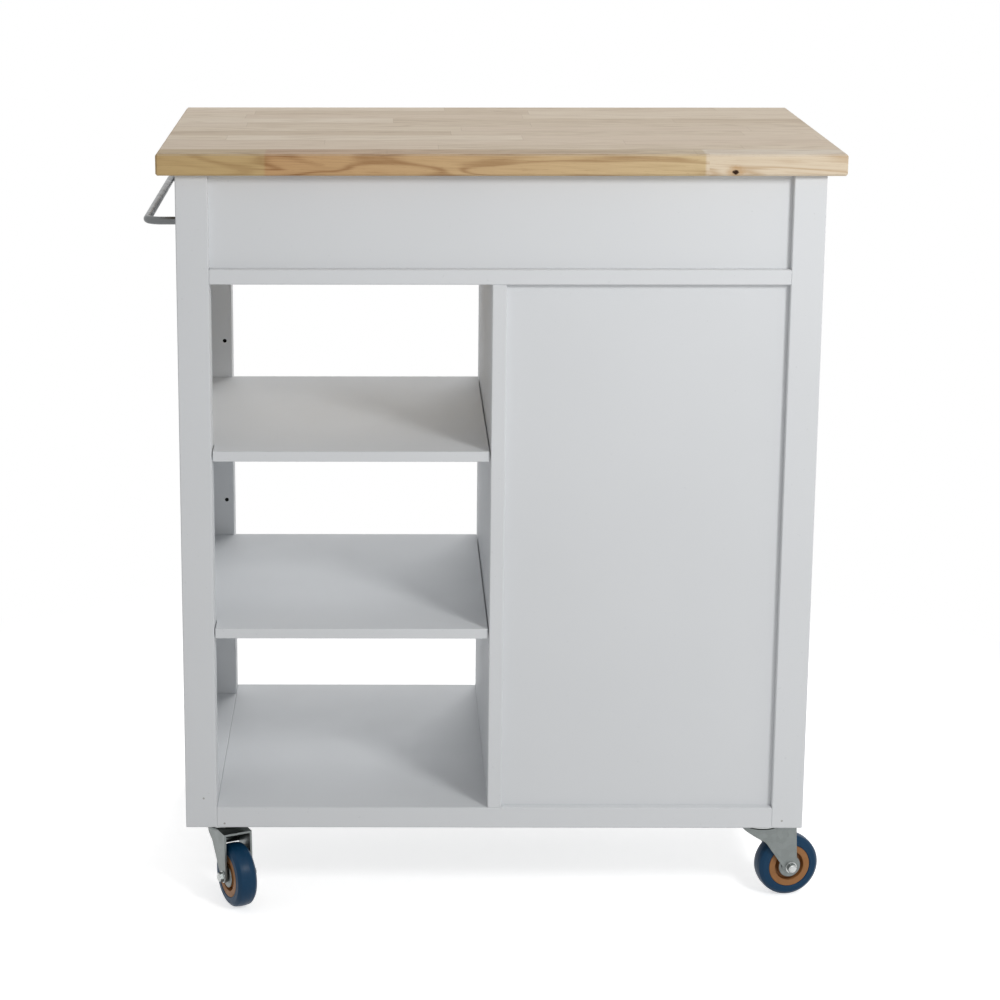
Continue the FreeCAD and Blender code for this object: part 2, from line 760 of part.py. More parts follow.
def make_wheel(corner):
    """A moulded rim with a groove between its hub and its outer ring, and a tyre round it."""
    bore = "axle_radius + running_clearance"
    half_hub = "(wheel_width / 2 - hub_edge_inset)"
    half_groove = "(wheel_width / 2 - groove_edge_inset)"
    half_ring = "(wheel_width / 2 - rim_edge_inset)"
    steps = [(bore, half_hub), ("hub_radius", half_hub), ("hub_radius", half_groove),
             ("rim_inner_radius", half_groove), ("rim_inner_radius", half_ring),
             ("rim_radius", half_ring)]
    lower = [(radius, f"-{half}") for radius, half in steps]
    rim = new_body(f"rim_{corner}")
    revolve(rim, "XY_Plane", lower + steps[::-1])
    keep(f"rim_{corner}", place_on_caster(rim, corner, "trail", "wheel_radius"))
    tyre = new_body(f"tyre_{corner}")
    revolve(tyre, "XY_Plane", [
        ("rim_radius", "-wheel_width / 2"),
        ("wheel_radius - tyre_shoulder", "-wheel_width / 2"),
        ("wheel_radius", "tyre_shoulder - wheel_width / 2"),
        ("wheel_radius", "wheel_width / 2 - tyre_shoulder"),
        ("wheel_radius - tyre_shoulder", "wheel_width / 2"),
        ("rim_radius", "wheel_width / 2"),
    ])
    keep(f"tyre_{corner}", place_on_caster(tyre, corner, "trail", "wheel_radius"))


def make_pedal(corner):
    """A brake pedal: a plate on a barrel, with a shoe that comes down on the tyre."""
    body = new_body(f"brake_pedal_{corner}")
    sketch = sketch_on(body, "XZ_Plane")
    tip = "pedal_tip - pedal_pin_along"
    polygon(sketch, [
        ("0", "pedal_barrel_radius - pedal_sheet"),
        (tip, "pedal_barrel_radius - pedal_sheet + pedal_rise"),
        (tip, "pedal_barrel_radius + pedal_rise"),
        ("0", "pedal_barrel_radius"),
    ])
    pad(body, sketch, "pedal_width")
    low_y = "-pedal_width / 2"
    add_cylinder(body, "Additive", "pedal_barrel_radius", "pedal_width", ("0", low_y, "0"),
                 ALONG_Y, name="Barrel")
    add_cylinder(body, "Additive", "pedal_shoe_radius", "pedal_width",
                 ("trail - pedal_pin_along", low_y, "pedal_shoe_radius - pedal_shoe_drop"),
                 ALONG_Y, name="Shoe")
    add_cylinder(body, "Subtractive", "pedal_pin_radius + running_clearance", "pedal_width",
                 ("0", low_y, "0"), ALONG_Y, name="PinHole")
    keep(f"brake_pedal_{corner}",
         place_on_caster(body, corner, "pedal_pin_along", "pedal_pin_height"))


def check_and_write():
    doc.recompute()
    for item in doc.Objects:
        if {"Invalid", "Error"} & set(item.State):
            raise RuntimeError(f"{item.Label} did not build: {item.State}")
    for item in subparts:
        if item.Shape.isNull() or not item.Shape.isValid():
            raise RuntimeError(f"{item.Label} has no valid shape")
    os.makedirs("parts", exist_ok=True)
    for item in subparts:
        item.Shape.exportStep(f"parts/{item.Label}.step")


make_worktop()
for side in SIDES:
    make_side(side)
make_inner_boards()
make_shelves()
make_shelf_pins()
make_towel_bar()
make_runners()
for side in SIDES:
    make_drawer(side)
make_door()
make_hinges()
make_catch()
make_caster_plates()
for corner in CASTER_AXES:
    make_fork(corner)
    make_axle(corner)
    make_wheel(corner)
for corner in BRAKED:
    make_pedal(corner)
check_and_write()
print(len(subparts), "sub-parts written")
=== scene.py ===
# Kitchen island cart: finishes, small fittings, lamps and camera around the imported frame.
# Metres. +Z is up, the floor is z = 0, the finished back faces -Y and the drawers face +Y.
import json
import math

import bmesh
import bpy
from mathutils import Matrix, Vector


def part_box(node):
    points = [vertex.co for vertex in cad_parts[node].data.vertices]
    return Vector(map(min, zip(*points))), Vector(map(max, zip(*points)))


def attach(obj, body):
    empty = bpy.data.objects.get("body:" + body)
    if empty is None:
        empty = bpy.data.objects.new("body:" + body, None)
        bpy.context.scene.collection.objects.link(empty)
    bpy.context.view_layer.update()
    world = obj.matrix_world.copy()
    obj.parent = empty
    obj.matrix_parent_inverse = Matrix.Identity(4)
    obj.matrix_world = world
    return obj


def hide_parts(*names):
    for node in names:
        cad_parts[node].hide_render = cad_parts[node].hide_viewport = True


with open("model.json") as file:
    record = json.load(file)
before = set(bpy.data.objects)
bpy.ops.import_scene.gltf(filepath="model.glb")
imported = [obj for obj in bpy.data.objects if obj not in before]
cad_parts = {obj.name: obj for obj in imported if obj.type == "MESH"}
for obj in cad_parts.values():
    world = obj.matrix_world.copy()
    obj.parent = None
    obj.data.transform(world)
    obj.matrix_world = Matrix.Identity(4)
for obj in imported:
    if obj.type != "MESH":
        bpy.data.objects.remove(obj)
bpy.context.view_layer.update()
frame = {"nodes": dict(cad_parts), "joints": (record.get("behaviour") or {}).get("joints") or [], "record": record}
nodes = frame["nodes"]
joints = {joint["name"]: joint for joint in frame["joints"]}

WHITE = (1.0, 1.0, 1.0, 1.0)
PALE_GREY = (0.8, 0.8, 0.8, 1.0)
CORNERS = ("rear_left", "rear_right", "front_left", "front_right")
SIDES = ("left", "right")


def srgb(red, green, blue):
    """A display colour of 0 to 255 a channel, as the linear colour that a shader takes."""
    def linear(value):
        value /= 255
        return value / 12.92 if value <= 0.04045 else ((value + 0.055) / 1.055) ** 2.4
    return (linear(red), linear(green), linear(blue), 1.0)


# ---- building node trees ----

def put(tree, socket, value):
    """Link an output to a socket, or set the socket to a plain value."""
    if isinstance(value, bpy.types.NodeSocket):
        tree.links.new(value, socket)
    else:
        socket.default_value = value


def node(tree, kind, inputs=None, **settings):
    """A node with its settings made and its inputs, by name or number, set or linked."""
    made = tree.nodes.new(f"ShaderNode{kind}")
    for name, value in settings.items():
        setattr(made, name, value)
    for key, value in (inputs or {}).items():
        put(tree, made.inputs[key], value)
    return made


def maths(tree, operation, *values):
    return node(tree, "Math", dict(enumerate(values)), operation=operation).outputs[0]


def vector_maths(tree, operation, *values):
    return node(tree, "VectorMath", dict(enumerate(values)), operation=operation).outputs[0]


def blend(tree, amount, first, second, mode="MIX"):
    """Mix two colours by an amount from 0 to 1."""
    made = node(tree, "Mix", {0: amount, 6: first, 7: second}, data_type="RGBA", blend_type=mode)
    return made.outputs[2]


def brighten(tree, colour, factor):
    """A colour times a factor that may change over the surface."""
    return node(tree, "VectorMath", {0: colour, "Scale": factor}, operation="SCALE").outputs[0]


def spread(tree, value, low, high, out_low=0.0, out_high=1.0, smooth=False):
    """Map the range low to high onto out_low to out_high, held at its ends."""
    made = node(tree, "MapRange", {"Value": value, "From Min": low, "From Max": high,
                                   "To Min": out_low, "To Max": out_high})
    made.interpolation_type = "SMOOTHSTEP" if smooth else "LINEAR"
    return made.outputs[0]


def noise(tree, vector, scale, detail=2.0, roughness=0.5, distortion=0.0):
    return node(tree, "TexNoise", {"Vector": vector, "Scale": scale, "Detail": detail,
                                   "Roughness": roughness, "Distortion": distortion}).outputs[0]


def ramp(tree, value, stops):
    """A colour ramp through (position, colour) stops."""
    made = node(tree, "ValToRGB", {0: value})
    elements = made.color_ramp.elements
    while len(elements) < len(stops):
        elements.new(0.5)
    for element, (position, colour) in zip(elements, stops):
        element.position = position
        element.color = colour
    return made.outputs[0]


def axes_of(tree, vector):
    return node(tree, "SeparateXYZ", {0: vector}).outputs


def joined(tree, x, y, z):
    return node(tree, "CombineXYZ", {0: x, 1: y, 2: z}).outputs[0]


def new_group(name, inputs, outputs):
    """A shader node group: inputs maps a name to (type, default), outputs a name to a type."""
    tree = bpy.data.node_groups.new(name, "ShaderNodeTree")
    for label, (kind, default) in inputs.items():
        socket = tree.interface.new_socket(label, in_out="INPUT", socket_type=f"NodeSocket{kind}")
        if default is not None:
            socket.default_value = default
    for label, kind in outputs.items():
        tree.interface.new_socket(label, in_out="OUTPUT", socket_type=f"NodeSocket{kind}")
    return tree, tree.nodes.new("NodeGroupInput").outputs, tree.nodes.new("NodeGroupOutput").inputs


# ---- shared effects ----

def build_paint_film():
    """Sprayed paint on smooth board: faint clouding, orange peel, uneven gloss, a few specks."""
    tree, given, out = new_group(
        "paint_film",
        {"Vector": ("Vector", None), "Color": ("Color", WHITE), "Clouding": ("Float", 0.05),
         "Gloss": ("Float", 0.4)},
        {"Color": "Color", "Roughness": "Float", "Height": "Float"})
    vector = given["Vector"]
    cloud = spread(tree, noise(tree, vector, 3.0, 3.0, 0.55), 0.3, 0.7, -0.5, 0.5)
    fleck = spread(tree, noise(tree, vector, 260.0, 1.0), 0.73, 0.8)
    value = maths(tree, "MULTIPLY_ADD", cloud, given["Clouding"], 1.0)
    value = maths(tree, "SUBTRACT", value, maths(tree, "MULTIPLY", fleck, 0.06))
    put(tree, out["Color"], brighten(tree, given["Color"], value))
    patch = spread(tree, noise(tree, vector, 24.0), 0.3, 0.7, -0.05, 0.05)
    put(tree, out["Roughness"], maths(tree, "ADD", given["Gloss"], patch))
    put(tree, out["Height"], noise(tree, vector, 420.0))
    return tree


def build_stave_layout():
    """Rows of staves glued edge to edge along the first axis, with staggered butt joints."""
    tree, given, out = new_group(
        "stave_layout",
        {"Vector": ("Vector", None), "Width": ("Float", 0.042), "Length": ("Float", 0.34)},
        {"Row": "Float", "Tone": "Float", "Seed": "Float", "Joint": "Float"})
    x, y, _ = axes_of(tree, given["Vector"])
    across = maths(tree, "DIVIDE", y, given["Width"])
    row = maths(tree, "FLOOR", across)
    stagger = node(tree, "TexWhiteNoise", {"W": row}, noise_dimensions="1D").outputs["Value"]
    along = maths(tree, "ADD", maths(tree, "DIVIDE", x, given["Length"]),
                  maths(tree, "MULTIPLY", stagger, 7.3))
    stave = maths(tree, "FLOOR", along)
    key = joined(tree, row, stave, 0.0)
    tones = node(tree, "TexWhiteNoise", {"Vector": key}, noise_dimensions="3D")
    put(tree, out["Row"], row)
    put(tree, out["Tone"], tones.outputs["Value"])
    put(tree, out["Seed"], maths(tree, "MULTIPLY", tones.outputs["Value"], 40.0))
    row_edge = edge_distance(tree, across, given["Width"])
    end_edge = edge_distance(tree, along, given["Length"])
    nearest = maths(tree, "MINIMUM", row_edge, end_edge)
    put(tree, out["Joint"], spread(tree, nearest, 0.0001, 0.0005, 1.0, 0.0))
    return tree


def edge_distance(tree, position, pitch):
    """How far a position, counted in pitches, is from the nearest whole number, in metres."""
    part = maths(tree, "FRACT", position)
    nearest = maths(tree, "MINIMUM", part, maths(tree, "SUBTRACT", 1.0, part))
    return maths(tree, "MULTIPLY", nearest, pitch)


# How noise is stretched along the grain: waves to the metre along, across and through the wood.
FIGURE_STRETCH = (2.2, 20.0, 20.0)
FIBRE_STRETCH = (14.0, 700.0, 700.0)
PORE_STRETCH = (90.0, 1300.0, 1300.0)
FIGURE_BANDS = 64.0
FIGURE_SHARPNESS = 2.6


def build_wood_grain():
    """Grain along the first axis: a slow figure, fine fibres and short dark pores."""
    tree, given, out = new_group(
        "wood_grain",
        {"Vector": ("Vector", None), "Light": ("Color", WHITE), "Dark": ("Color", WHITE),
         "Figure": ("Float", 0.5), "Seed": ("Float", 0.0)},
        {"Color": "Color", "Roughness": "Float", "Height": "Float"})
    shift = joined(tree, given["Seed"], given["Seed"], given["Seed"])
    vector = vector_maths(tree, "ADD", given["Vector"], shift)
    slow = noise(tree, vector_maths(tree, "MULTIPLY", vector, FIGURE_STRETCH), 1.0, 3.0, 0.55, 0.5)
    fibre = noise(tree, vector_maths(tree, "MULTIPLY", vector, FIBRE_STRETCH), 1.0, 2.0, 0.6)
    pore = noise(tree, vector_maths(tree, "MULTIPLY", vector, PORE_STRETCH), 1.0, 1.0)
    bands = spread(tree, maths(tree, "SINE", maths(tree, "MULTIPLY", slow, FIGURE_BANDS)), -1.0, 1.0)
    lines = maths(tree, "POWER", bands, FIGURE_SHARPNESS)
    figure = maths(tree, "MULTIPLY", lines, given["Figure"])
    streak = spread(tree, fibre, 0.35, 0.65, -0.14, 0.2)
    pores = spread(tree, pore, 0.63, 0.74)
    depth = maths(tree, "ADD", maths(tree, "ADD", figure, streak),
                  maths(tree, "MULTIPLY", pores, 0.3))
    amount = node(tree, "Clamp", {0: depth}).outputs[0]
    put(tree, out["Color"], blend(tree, amount, given["Light"], given["Dark"]))
    put(tree, out["Roughness"], spread(tree, fibre, 0.3, 0.7, 0.6, 0.76))
    put(tree, out["Height"], maths(tree, "SUBTRACT", fibre, maths(tree, "MULTIPLY", pores, 0.6)))
    return tree


def build_metal_surface():
    """Plated or brushed metal: streaks along the first axis, soft spangle and smudges."""
    tree, given, out = new_group(
        "metal_surface",
        {"Vector": ("Vector", None), "Color": ("Color", WHITE), "Streaks": ("Float", 0.1),
         "Spangle": ("Float", 0.1), "Shine": ("Float", 0.3)},
        {"Color": "Color", "Roughness": "Float", "Height": "Float"})
    vector = given["Vector"]
    streak = noise(tree, vector_maths(tree, "MULTIPLY", vector, (60.0, 1800.0, 1800.0)), 1.0)
    cells = node(tree, "TexVoronoi", {"Vector": vector, "Scale": 170.0}).outputs["Color"]
    cell = node(tree, "SeparateColor", {0: cells}).outputs[0]
    smudge = noise(tree, vector, 45.0, 3.0, 0.6)
    dim = maths(tree, "ADD",
                maths(tree, "MULTIPLY", spread(tree, streak, 0.3, 0.7, -0.5, 0.5), given["Streaks"]),
                maths(tree, "MULTIPLY", spread(tree, cell, 0.0, 1.0, -0.5, 0.5), given["Spangle"]))
    put(tree, out["Color"], brighten(tree, given["Color"], maths(tree, "ADD", dim, 1.0)))
    rough = maths(tree, "ADD", given["Shine"], spread(tree, smudge, 0.3, 0.7, -0.06, 0.1))
    put(tree, out["Roughness"], maths(tree, "MULTIPLY_ADD", dim, 0.4, rough))
    put(tree, out["Height"], streak)
    return tree


def build_moulded_surface():
    """Moulded plastic or rubber: fine texture, faint flow marks and a little floor dust."""
    tree, given, out = new_group(
        "moulded_surface",
        {"Vector": ("Vector", None), "Color": ("Color", WHITE), "Dust": ("Color", WHITE),
         "Dustiness": ("Float", 0.1), "Gloss": ("Float", 0.4)},
        {"Color": "Color", "Roughness": "Float", "Height": "Float"})
    flow = noise(tree, given["Vector"], 60.0, 4.0, 0.6, 0.8)
    dust = maths(tree, "MULTIPLY", spread(tree, flow, 0.4, 0.75), given["Dustiness"])
    put(tree, out["Color"], blend(tree, dust, given["Color"], given["Dust"]))
    put(tree, out["Roughness"],
        maths(tree, "ADD", given["Gloss"], spread(tree, flow, 0.3, 0.7, -0.05, 0.12)))
    put(tree, out["Height"], noise(tree, given["Vector"], 900.0, 2.0, 0.6))
    return tree


PAINT_FILM = build_paint_film()
STAVE_LAYOUT = build_stave_layout()
WOOD_GRAIN = build_wood_grain()
METAL_SURFACE = build_metal_surface()
MOULDED_SURFACE = build_moulded_surface()


# ---- materials ----

def place_group(tree, effect, values):
    placed = node(tree, "Group", node_tree=effect)
    for name, value in values.items():
        put(tree, placed.inputs[name], value)
    return placed.outputs


def start_material(name, **shader):
    """An empty Principled material with constant values set on the shader's own sockets."""
    made = bpy.data.materials.new(name)
    made.use_nodes = True
    principled = made.node_tree.nodes["Principled BSDF"]
    for label, value in shader.items():
        principled.inputs[label.replace("_", " ")].default_value = value
    return made, made.node_tree, principled.inputs


def wear_look(tree, shader, look, bump, grain_height=0.0002, edge=0.0):
    """Feed an effect's colour, roughness and height to the shader, over softened edges."""
    put(tree, shader["Base Color"], look["Color"])
    put(tree, shader["Roughness"], look["Roughness"])
    relief = node(tree, "Bump", {"Strength": bump, "Distance": grain_height,
                                 "Height": look["Height"]})
    if edge:
        softened = node(tree, "Bevel", {"Radius": edge}, samples=4)
        put(tree, relief.inputs["Normal"], softened.outputs[0])
    put(tree, shader["Normal"], relief.outputs[0])


def surface_point(tree, grain_axis="x"):
    """Object coordinates, with the axis that the grain or brushing follows put first."""
    point = node(tree, "TexCoord").outputs["Object"]
    if grain_axis == "x":
        return point
    x, y, z = axes_of(tree, point)
    return joined(tree, y, x, z) if grain_axis == "y" else joined(tree, z, x, y)


def paint_material(name, colour, clouding=0.03, gloss=0.58):
    made, tree, shader = start_material(name, Specular_IOR_Level=0.2)
    look = place_group(tree, PAINT_FILM, {"Vector": surface_point(tree), "Color": colour,
                                          "Clouding": clouding, "Gloss": gloss})
    wear_look(tree, shader, look, 0.04, edge=0.0006)
    return made


def metal_material(name, colour, shine, streaks=0.06, spangle=0.0, grain_axis="x", edge=0.0):
    made, tree, shader = start_material(name, Metallic=1.0)
    look = place_group(tree, METAL_SURFACE, {"Vector": surface_point(tree, grain_axis),
                                             "Color": colour, "Streaks": streaks,
                                             "Spangle": spangle, "Shine": shine})
    wear_look(tree, shader, look, 0.03, edge=edge)
    return made


def moulded_material(name, colour, dust, dustiness, gloss, specular=0.5):
    made, tree, shader = start_material(name, Specular_IOR_Level=specular)
    look = place_group(tree, MOULDED_SURFACE, {"Vector": surface_point(tree), "Color": colour,
                                               "Dust": dust, "Dustiness": dustiness,
                                               "Gloss": gloss})
    wear_look(tree, shader, look, 0.05)
    return made


def plain_wood_material(name, light, dark, figure, grain_axis):
    made, tree, shader = start_material(name, Specular_IOR_Level=0.3)
    look = place_group(tree, WOOD_GRAIN, {"Vector": surface_point(tree, grain_axis),
                                          "Light": light, "Dark": dark, "Figure": figure})
    wear_look(tree, shader, look, 0.12, edge=0.0008)
    return made


STAVE_WIDTH = 0.042
KNOT_PLACE = (0.257, -0.231, 0.8725)
KNOT_RADIUS = 0.0034
KNOT_COLOUR = srgb(48, 30, 18)
KNOT_STAIN = srgb(176, 128, 62)
GLUE_LINE = srgb(120, 92, 62)
EDGE_FIGURE = 0.55
TOP_FIGURE = 0.38
# How much paler and greyer the top is painted than the edges: a painted sheen.
TOP_SHEEN_SATURATION = 0.68
TOP_SHEEN_VALUE = 1.13
# Where the rear edge's own staves meet, and their light and dark colours from left to right.
REAR_JOINTS = (-0.2606, 0.2248)
REAR_LIGHT = (srgb(196, 168, 121), srgb(196, 157, 113), srgb(204, 181, 141), srgb(218, 202, 178))
REAR_DARK = (srgb(160, 128, 86), srgb(136, 92, 54), srgb(156, 124, 86), srgb(184, 154, 118))


def along_worktop(x):
    """A place along the worktop as a share of its length."""
    low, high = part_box("worktop")
    return (x - low[0]) / (high[0] - low[0])


def rear_stave_colours(tree, share, colours):
    """The rear staves' colours: a plain one, one that pales to the right, and a pale one."""
    first, second = (along_worktop(x) for x in REAR_JOINTS)
    step = 0.0006
    return ramp(tree, share, [
        (0.0, colours[0]), (first, colours[0]), (first + step, colours[1]),
        (second, colours[2]), (second + step, colours[3])])


def knot_masks(tree, point):
    """A small dark knot on the rear edge, and the stained ring of grain round it."""
    offset = vector_maths(tree, "SUBTRACT", point, KNOT_PLACE)
    squeezed = vector_maths(tree, "MULTIPLY", offset, (0.8, 1.0, 1.1))
    distance = node(tree, "VectorMath", {0: squeezed}, operation="LENGTH").outputs["Value"]
    wander = spread(tree, noise(tree, point, 380.0), 0.3, 0.7, -0.0007, 0.0007)
    distance = maths(tree, "ADD", distance, wander)
    core = spread(tree, distance, 0.55 * KNOT_RADIUS, KNOT_RADIUS, 1.0, 0.0, smooth=True)
    stain = spread(tree, distance, KNOT_RADIUS, 3.2 * KNOT_RADIUS, 1.0, 0.0, smooth=True)
    return core, stain


def make_worktop_wood():
    """Glued staves of pale hardwood: oiled edges, and a top painted paler and greyer as a painted sheen."""
    made, tree, shader = start_material("worktop_wood", Specular_IOR_Level=0.12)
    point = surface_point(tree)
    low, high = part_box("worktop")
    x, y, z = axes_of(tree, vector_maths(tree, "SUBTRACT", point, tuple(low)))
    staves = place_group(tree, STAVE_LAYOUT, {"Vector": joined(tree, x, y, z),
                                              "Width": STAVE_WIDTH})
    light = ramp(tree, staves["Tone"], [(0.0, srgb(208, 184, 150)), (0.4, srgb(222, 202, 172)),
                                        (0.75, srgb(214, 190, 160)), (1.0, srgb(228, 210, 182))])
    dark = ramp(tree, staves["Tone"], [(0.0, srgb(176, 146, 110)), (0.5, srgb(196, 168, 132)),
                                       (1.0, srgb(200, 176, 144))])
    share = maths(tree, "DIVIDE", x, high[0] - low[0])
    rear = maths(tree, "LESS_THAN", staves["Row"], 0.5)
    light = blend(tree, rear, light, rear_stave_colours(tree, share, REAR_LIGHT))
    dark = blend(tree, rear, dark, rear_stave_colours(tree, share, REAR_DARK))
    rear_part = maths(tree, "FLOOR", maths(tree, "MULTIPLY", share, 1.25))
    rear_seed = maths(tree, "MULTIPLY", rear_part, 3.1)
    seed = node(tree, "Mix", {0: rear, 2: staves["Seed"], 3: rear_seed}).outputs[0]
    tilt = maths(tree, "MULTIPLY_ADD", x, 0.035, z)
    facing = axes_of(tree, node(tree, "NewGeometry").outputs["Normal"])[2]
    top = spread(tree, facing, 0.5, 0.95)
    figure = maths(tree, "MULTIPLY_ADD", top, TOP_FIGURE - EDGE_FIGURE, EDGE_FIGURE)
    grain = place_group(tree, WOOD_GRAIN, {"Vector": joined(tree, x, y, tilt), "Light": light,
                                           "Dark": dark, "Figure": figure, "Seed": seed})
    core, stain = knot_masks(tree, point)
    colour = blend(tree, maths(tree, "MULTIPLY", stain, 0.5), grain["Color"], KNOT_STAIN)
    colour = blend(tree, core, colour, KNOT_COLOUR)
    # Painted sheen: the upward faces are painted paler and less saturated than the edges.
    painted_sheen = node(tree, "HueSaturation", {"Saturation": TOP_SHEEN_SATURATION, "Value": TOP_SHEEN_VALUE,
                                            "Color": colour})
    colour = blend(tree, top, colour, painted_sheen.outputs[0])
    joint = maths(tree, "MULTIPLY", staves["Joint"], maths(tree, "MULTIPLY", top, 0.2))
    colour = blend(tree, joint, colour, GLUE_LINE)
    height = maths(tree, "SUBTRACT", grain["Height"], maths(tree, "MULTIPLY", core, 2.0))
    look = {"Color": colour, "Roughness": grain["Roughness"], "Height": height}
    wear_look(tree, shader, look, 0.12, edge=0.0014)
    return made


white_paint = paint_material("white_paint", srgb(218, 220, 222))
worktop_wood = make_worktop_wood()
DRAWER_TONES = (srgb(226, 204, 170), srgb(198, 168, 126))
drawer_wood = plain_wood_material("drawer_wood", *DRAWER_TONES, 0.3, "y")
drawer_back_wood = plain_wood_material("drawer_back_wood", *DRAWER_TONES, 0.3, "x")
runner_wood = plain_wood_material("runner_wood", srgb(202, 168, 124), srgb(168, 130, 88), 0.3, "y")
zinc = metal_material("zinc_plate", srgb(122, 127, 126), 0.34, streaks=0.05, spangle=0.14,
                      edge=0.0007)
bright_zinc = metal_material("bright_zinc", srgb(186, 189, 188), 0.24, streaks=0.05)
bar_steel = metal_material("bar_steel", srgb(112, 114, 115), 0.3, grain_axis="y")
knob_steel = metal_material("knob_steel", srgb(172, 171, 169), 0.27, streaks=0.03)
screw_steel = metal_material("screw_steel", srgb(150, 150, 148), 0.3)
tyre_blue = moulded_material("tyre_blue", srgb(9, 54, 84), srgb(70, 88, 104), 0.05, 0.36,
                             specular=0.2)
rim_orange = moulded_material("rim_orange", srgb(154, 106, 62), srgb(92, 70, 50), 0.3, 0.45,
                              specular=0.3)
catch_plastic = moulded_material("catch_plastic", srgb(225, 225, 222), srgb(190, 188, 182), 0.1,
                                 0.45)
# Slightly darker grey for the nail holes in the back: painted shade of the holes.
nail_hole_shade = moulded_material("nail_hole_painted_shade", srgb(178, 177, 174), srgb(132, 130, 127), 0.5, 0.7)
# Near-black for the spare pin holes: painted shade inside the holes.
hole_shade = moulded_material("hole_shade", srgb(20, 19, 18), srgb(34, 32, 30), 0.3, 0.8,
                              specular=0.05)

SLOT_MATERIALS = {
    "painted_white": white_paint, "worktop_wood": worktop_wood, "drawer_wood": drawer_wood,
    "runner_wood": runner_wood, "zinc_steel": zinc, "hinge_steel": knob_steel,
    "pin_steel": bright_zinc, "knob_steel": knob_steel, "bar_steel": bar_steel,
    "tyre_blue": tyre_blue, "rim_orange": rim_orange, "catch_plastic": catch_plastic,
}


def dress_cad_nodes():
    """Give every CAD node the finish of its material slot."""
    for entry in frame["record"]["subparts"]:
        mesh = nodes[entry["node"]].data
        mesh.materials.clear()
        across = entry["node"].startswith("drawer_back")
        mesh.materials.append(drawer_back_wood if across else SLOT_MATERIALS[entry["material_slot"]])


# ---- shapes ----

def upright_at(point):
    return Matrix.Translation(point)


def axis_frame(origin, direction):
    """A frame at origin whose Z axis points along direction."""
    turned = Vector(direction).to_track_quat("Z", "Y").to_matrix().to_4x4()
    return Matrix.Translation(origin) @ turned


def rounded(points, radius, steps=5):
    """Round each inner corner of a profile with an arc, held to half its shorter neighbour."""
    points = [Vector(point) for point in points]
    smooth = [points[0]]
    for before, corner, after in zip(points, points[1:], points[2:]):
        back = before - corner
        ahead = after - corner
        half_angle = back.angle(ahead) / 2
        reach = min(radius / math.tan(half_angle), 0.48 * back.length, 0.48 * ahead.length)
        start = corner + back.normalized() * reach
        end = corner + ahead.normalized() * reach
        for step in range(steps + 1):
            share = step / steps
            smooth.append(start * (1 - share) ** 2 + corner * 2 * share * (1 - share)
                          + end * share ** 2)
    return smooth + [points[-1]]


def lathe(work, profile, seat, segments=96):
    """Turn a profile of (radius, along) about the seat's Z axis, closing it where radius is 0."""
    rings = []
    for radius, along in profile:
        if radius < 1e-6:
            rings.append([work.verts.new(seat @ Vector((0, 0, along)))])
            continue
        angles = [2 * math.pi * i / segments for i in range(segments)]
        rings.append([work.verts.new(seat @ Vector((radius * math.cos(a), radius * math.sin(a), along)))
                      for a in angles])
    for first, second in zip(rings, rings[1:]):
        for i in range(segments):
            corners = [first[i % len(first)], first[(i + 1) % len(first)],
                       second[(i + 1) % len(second)], second[i % len(second)]]
            distinct = list(dict.fromkeys(corners))
            if len(distinct) > 2:
                work.faces.new(distinct)


def prism(work, outline, seat, length):
    """Extrude an outline in the seat's XY plane along its Z axis."""
    ends = [[work.verts.new(seat @ Vector((x, y, along))) for x, y in outline]
            for along in (0.0, length)]
    for i in range(len(outline)):
        j = (i + 1) % len(outline)
        work.faces.new((ends[0][i], ends[0][j], ends[1][j], ends[1][i]))
    work.faces.new(reversed(ends[0]))
    work.faces.new(ends[1])


def rectangle(low, high):
    return [(low[0], low[1]), (high[0], low[1]), (high[0], high[1]), (low[0], high[1])]


def finish_piece(name, work, material, body, replaced=()):
    """Turn a bmesh into a smooth-shaded piece that rides on a body."""
    bmesh.ops.recalc_face_normals(work, faces=work.faces)
    mesh = bpy.data.meshes.new(name)
    work.to_mesh(mesh)
    work.free()
    mesh.polygons.foreach_set("use_smooth", [True] * len(mesh.polygons))
    mesh.materials.append(material)
    piece = bpy.data.objects.new(name, mesh)
    bpy.context.scene.collection.objects.link(piece)
    register(piece, body, replaced)
    return piece


def register(piece, body, replaced=()):
    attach(piece, body)
    if replaced:
        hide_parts(*replaced)


def turned_piece(name, profile, seats, material, body, replaced=(), segments=96):
    """One piece of the same turned form at each of several seats."""
    work = bmesh.new()
    for seat in seats:
        lathe(work, profile, seat, segments)
    return finish_piece(name, work, material, body, replaced)


# ---- casters ----

WHEEL_RADIUS = 0.0375
WHEEL_HALF_WIDTH = 0.0125
RIM_RADIUS = 0.0256
RING_INNER = 0.0178
HUB_RADIUS = 0.0138
RIM_GROOVE_DEPTH = 0.0085
BORE_RADIUS = 0.0041
FORK_HALF_WIDTH = 0.0175
BOLT_HEAD_HEIGHT = 0.005
RACEWAY_RADIUS = 0.0205


def wheel_seats(corner):
    """Two frames on a wheel's middle plane, looking out along its axle to either side."""
    roll = joints[f"roll_{corner}"]
    middle = Vector(roll["pos_m"])
    axle = Vector(roll["axis"])
    return [axis_frame(middle, axle), axis_frame(middle, -axle)]


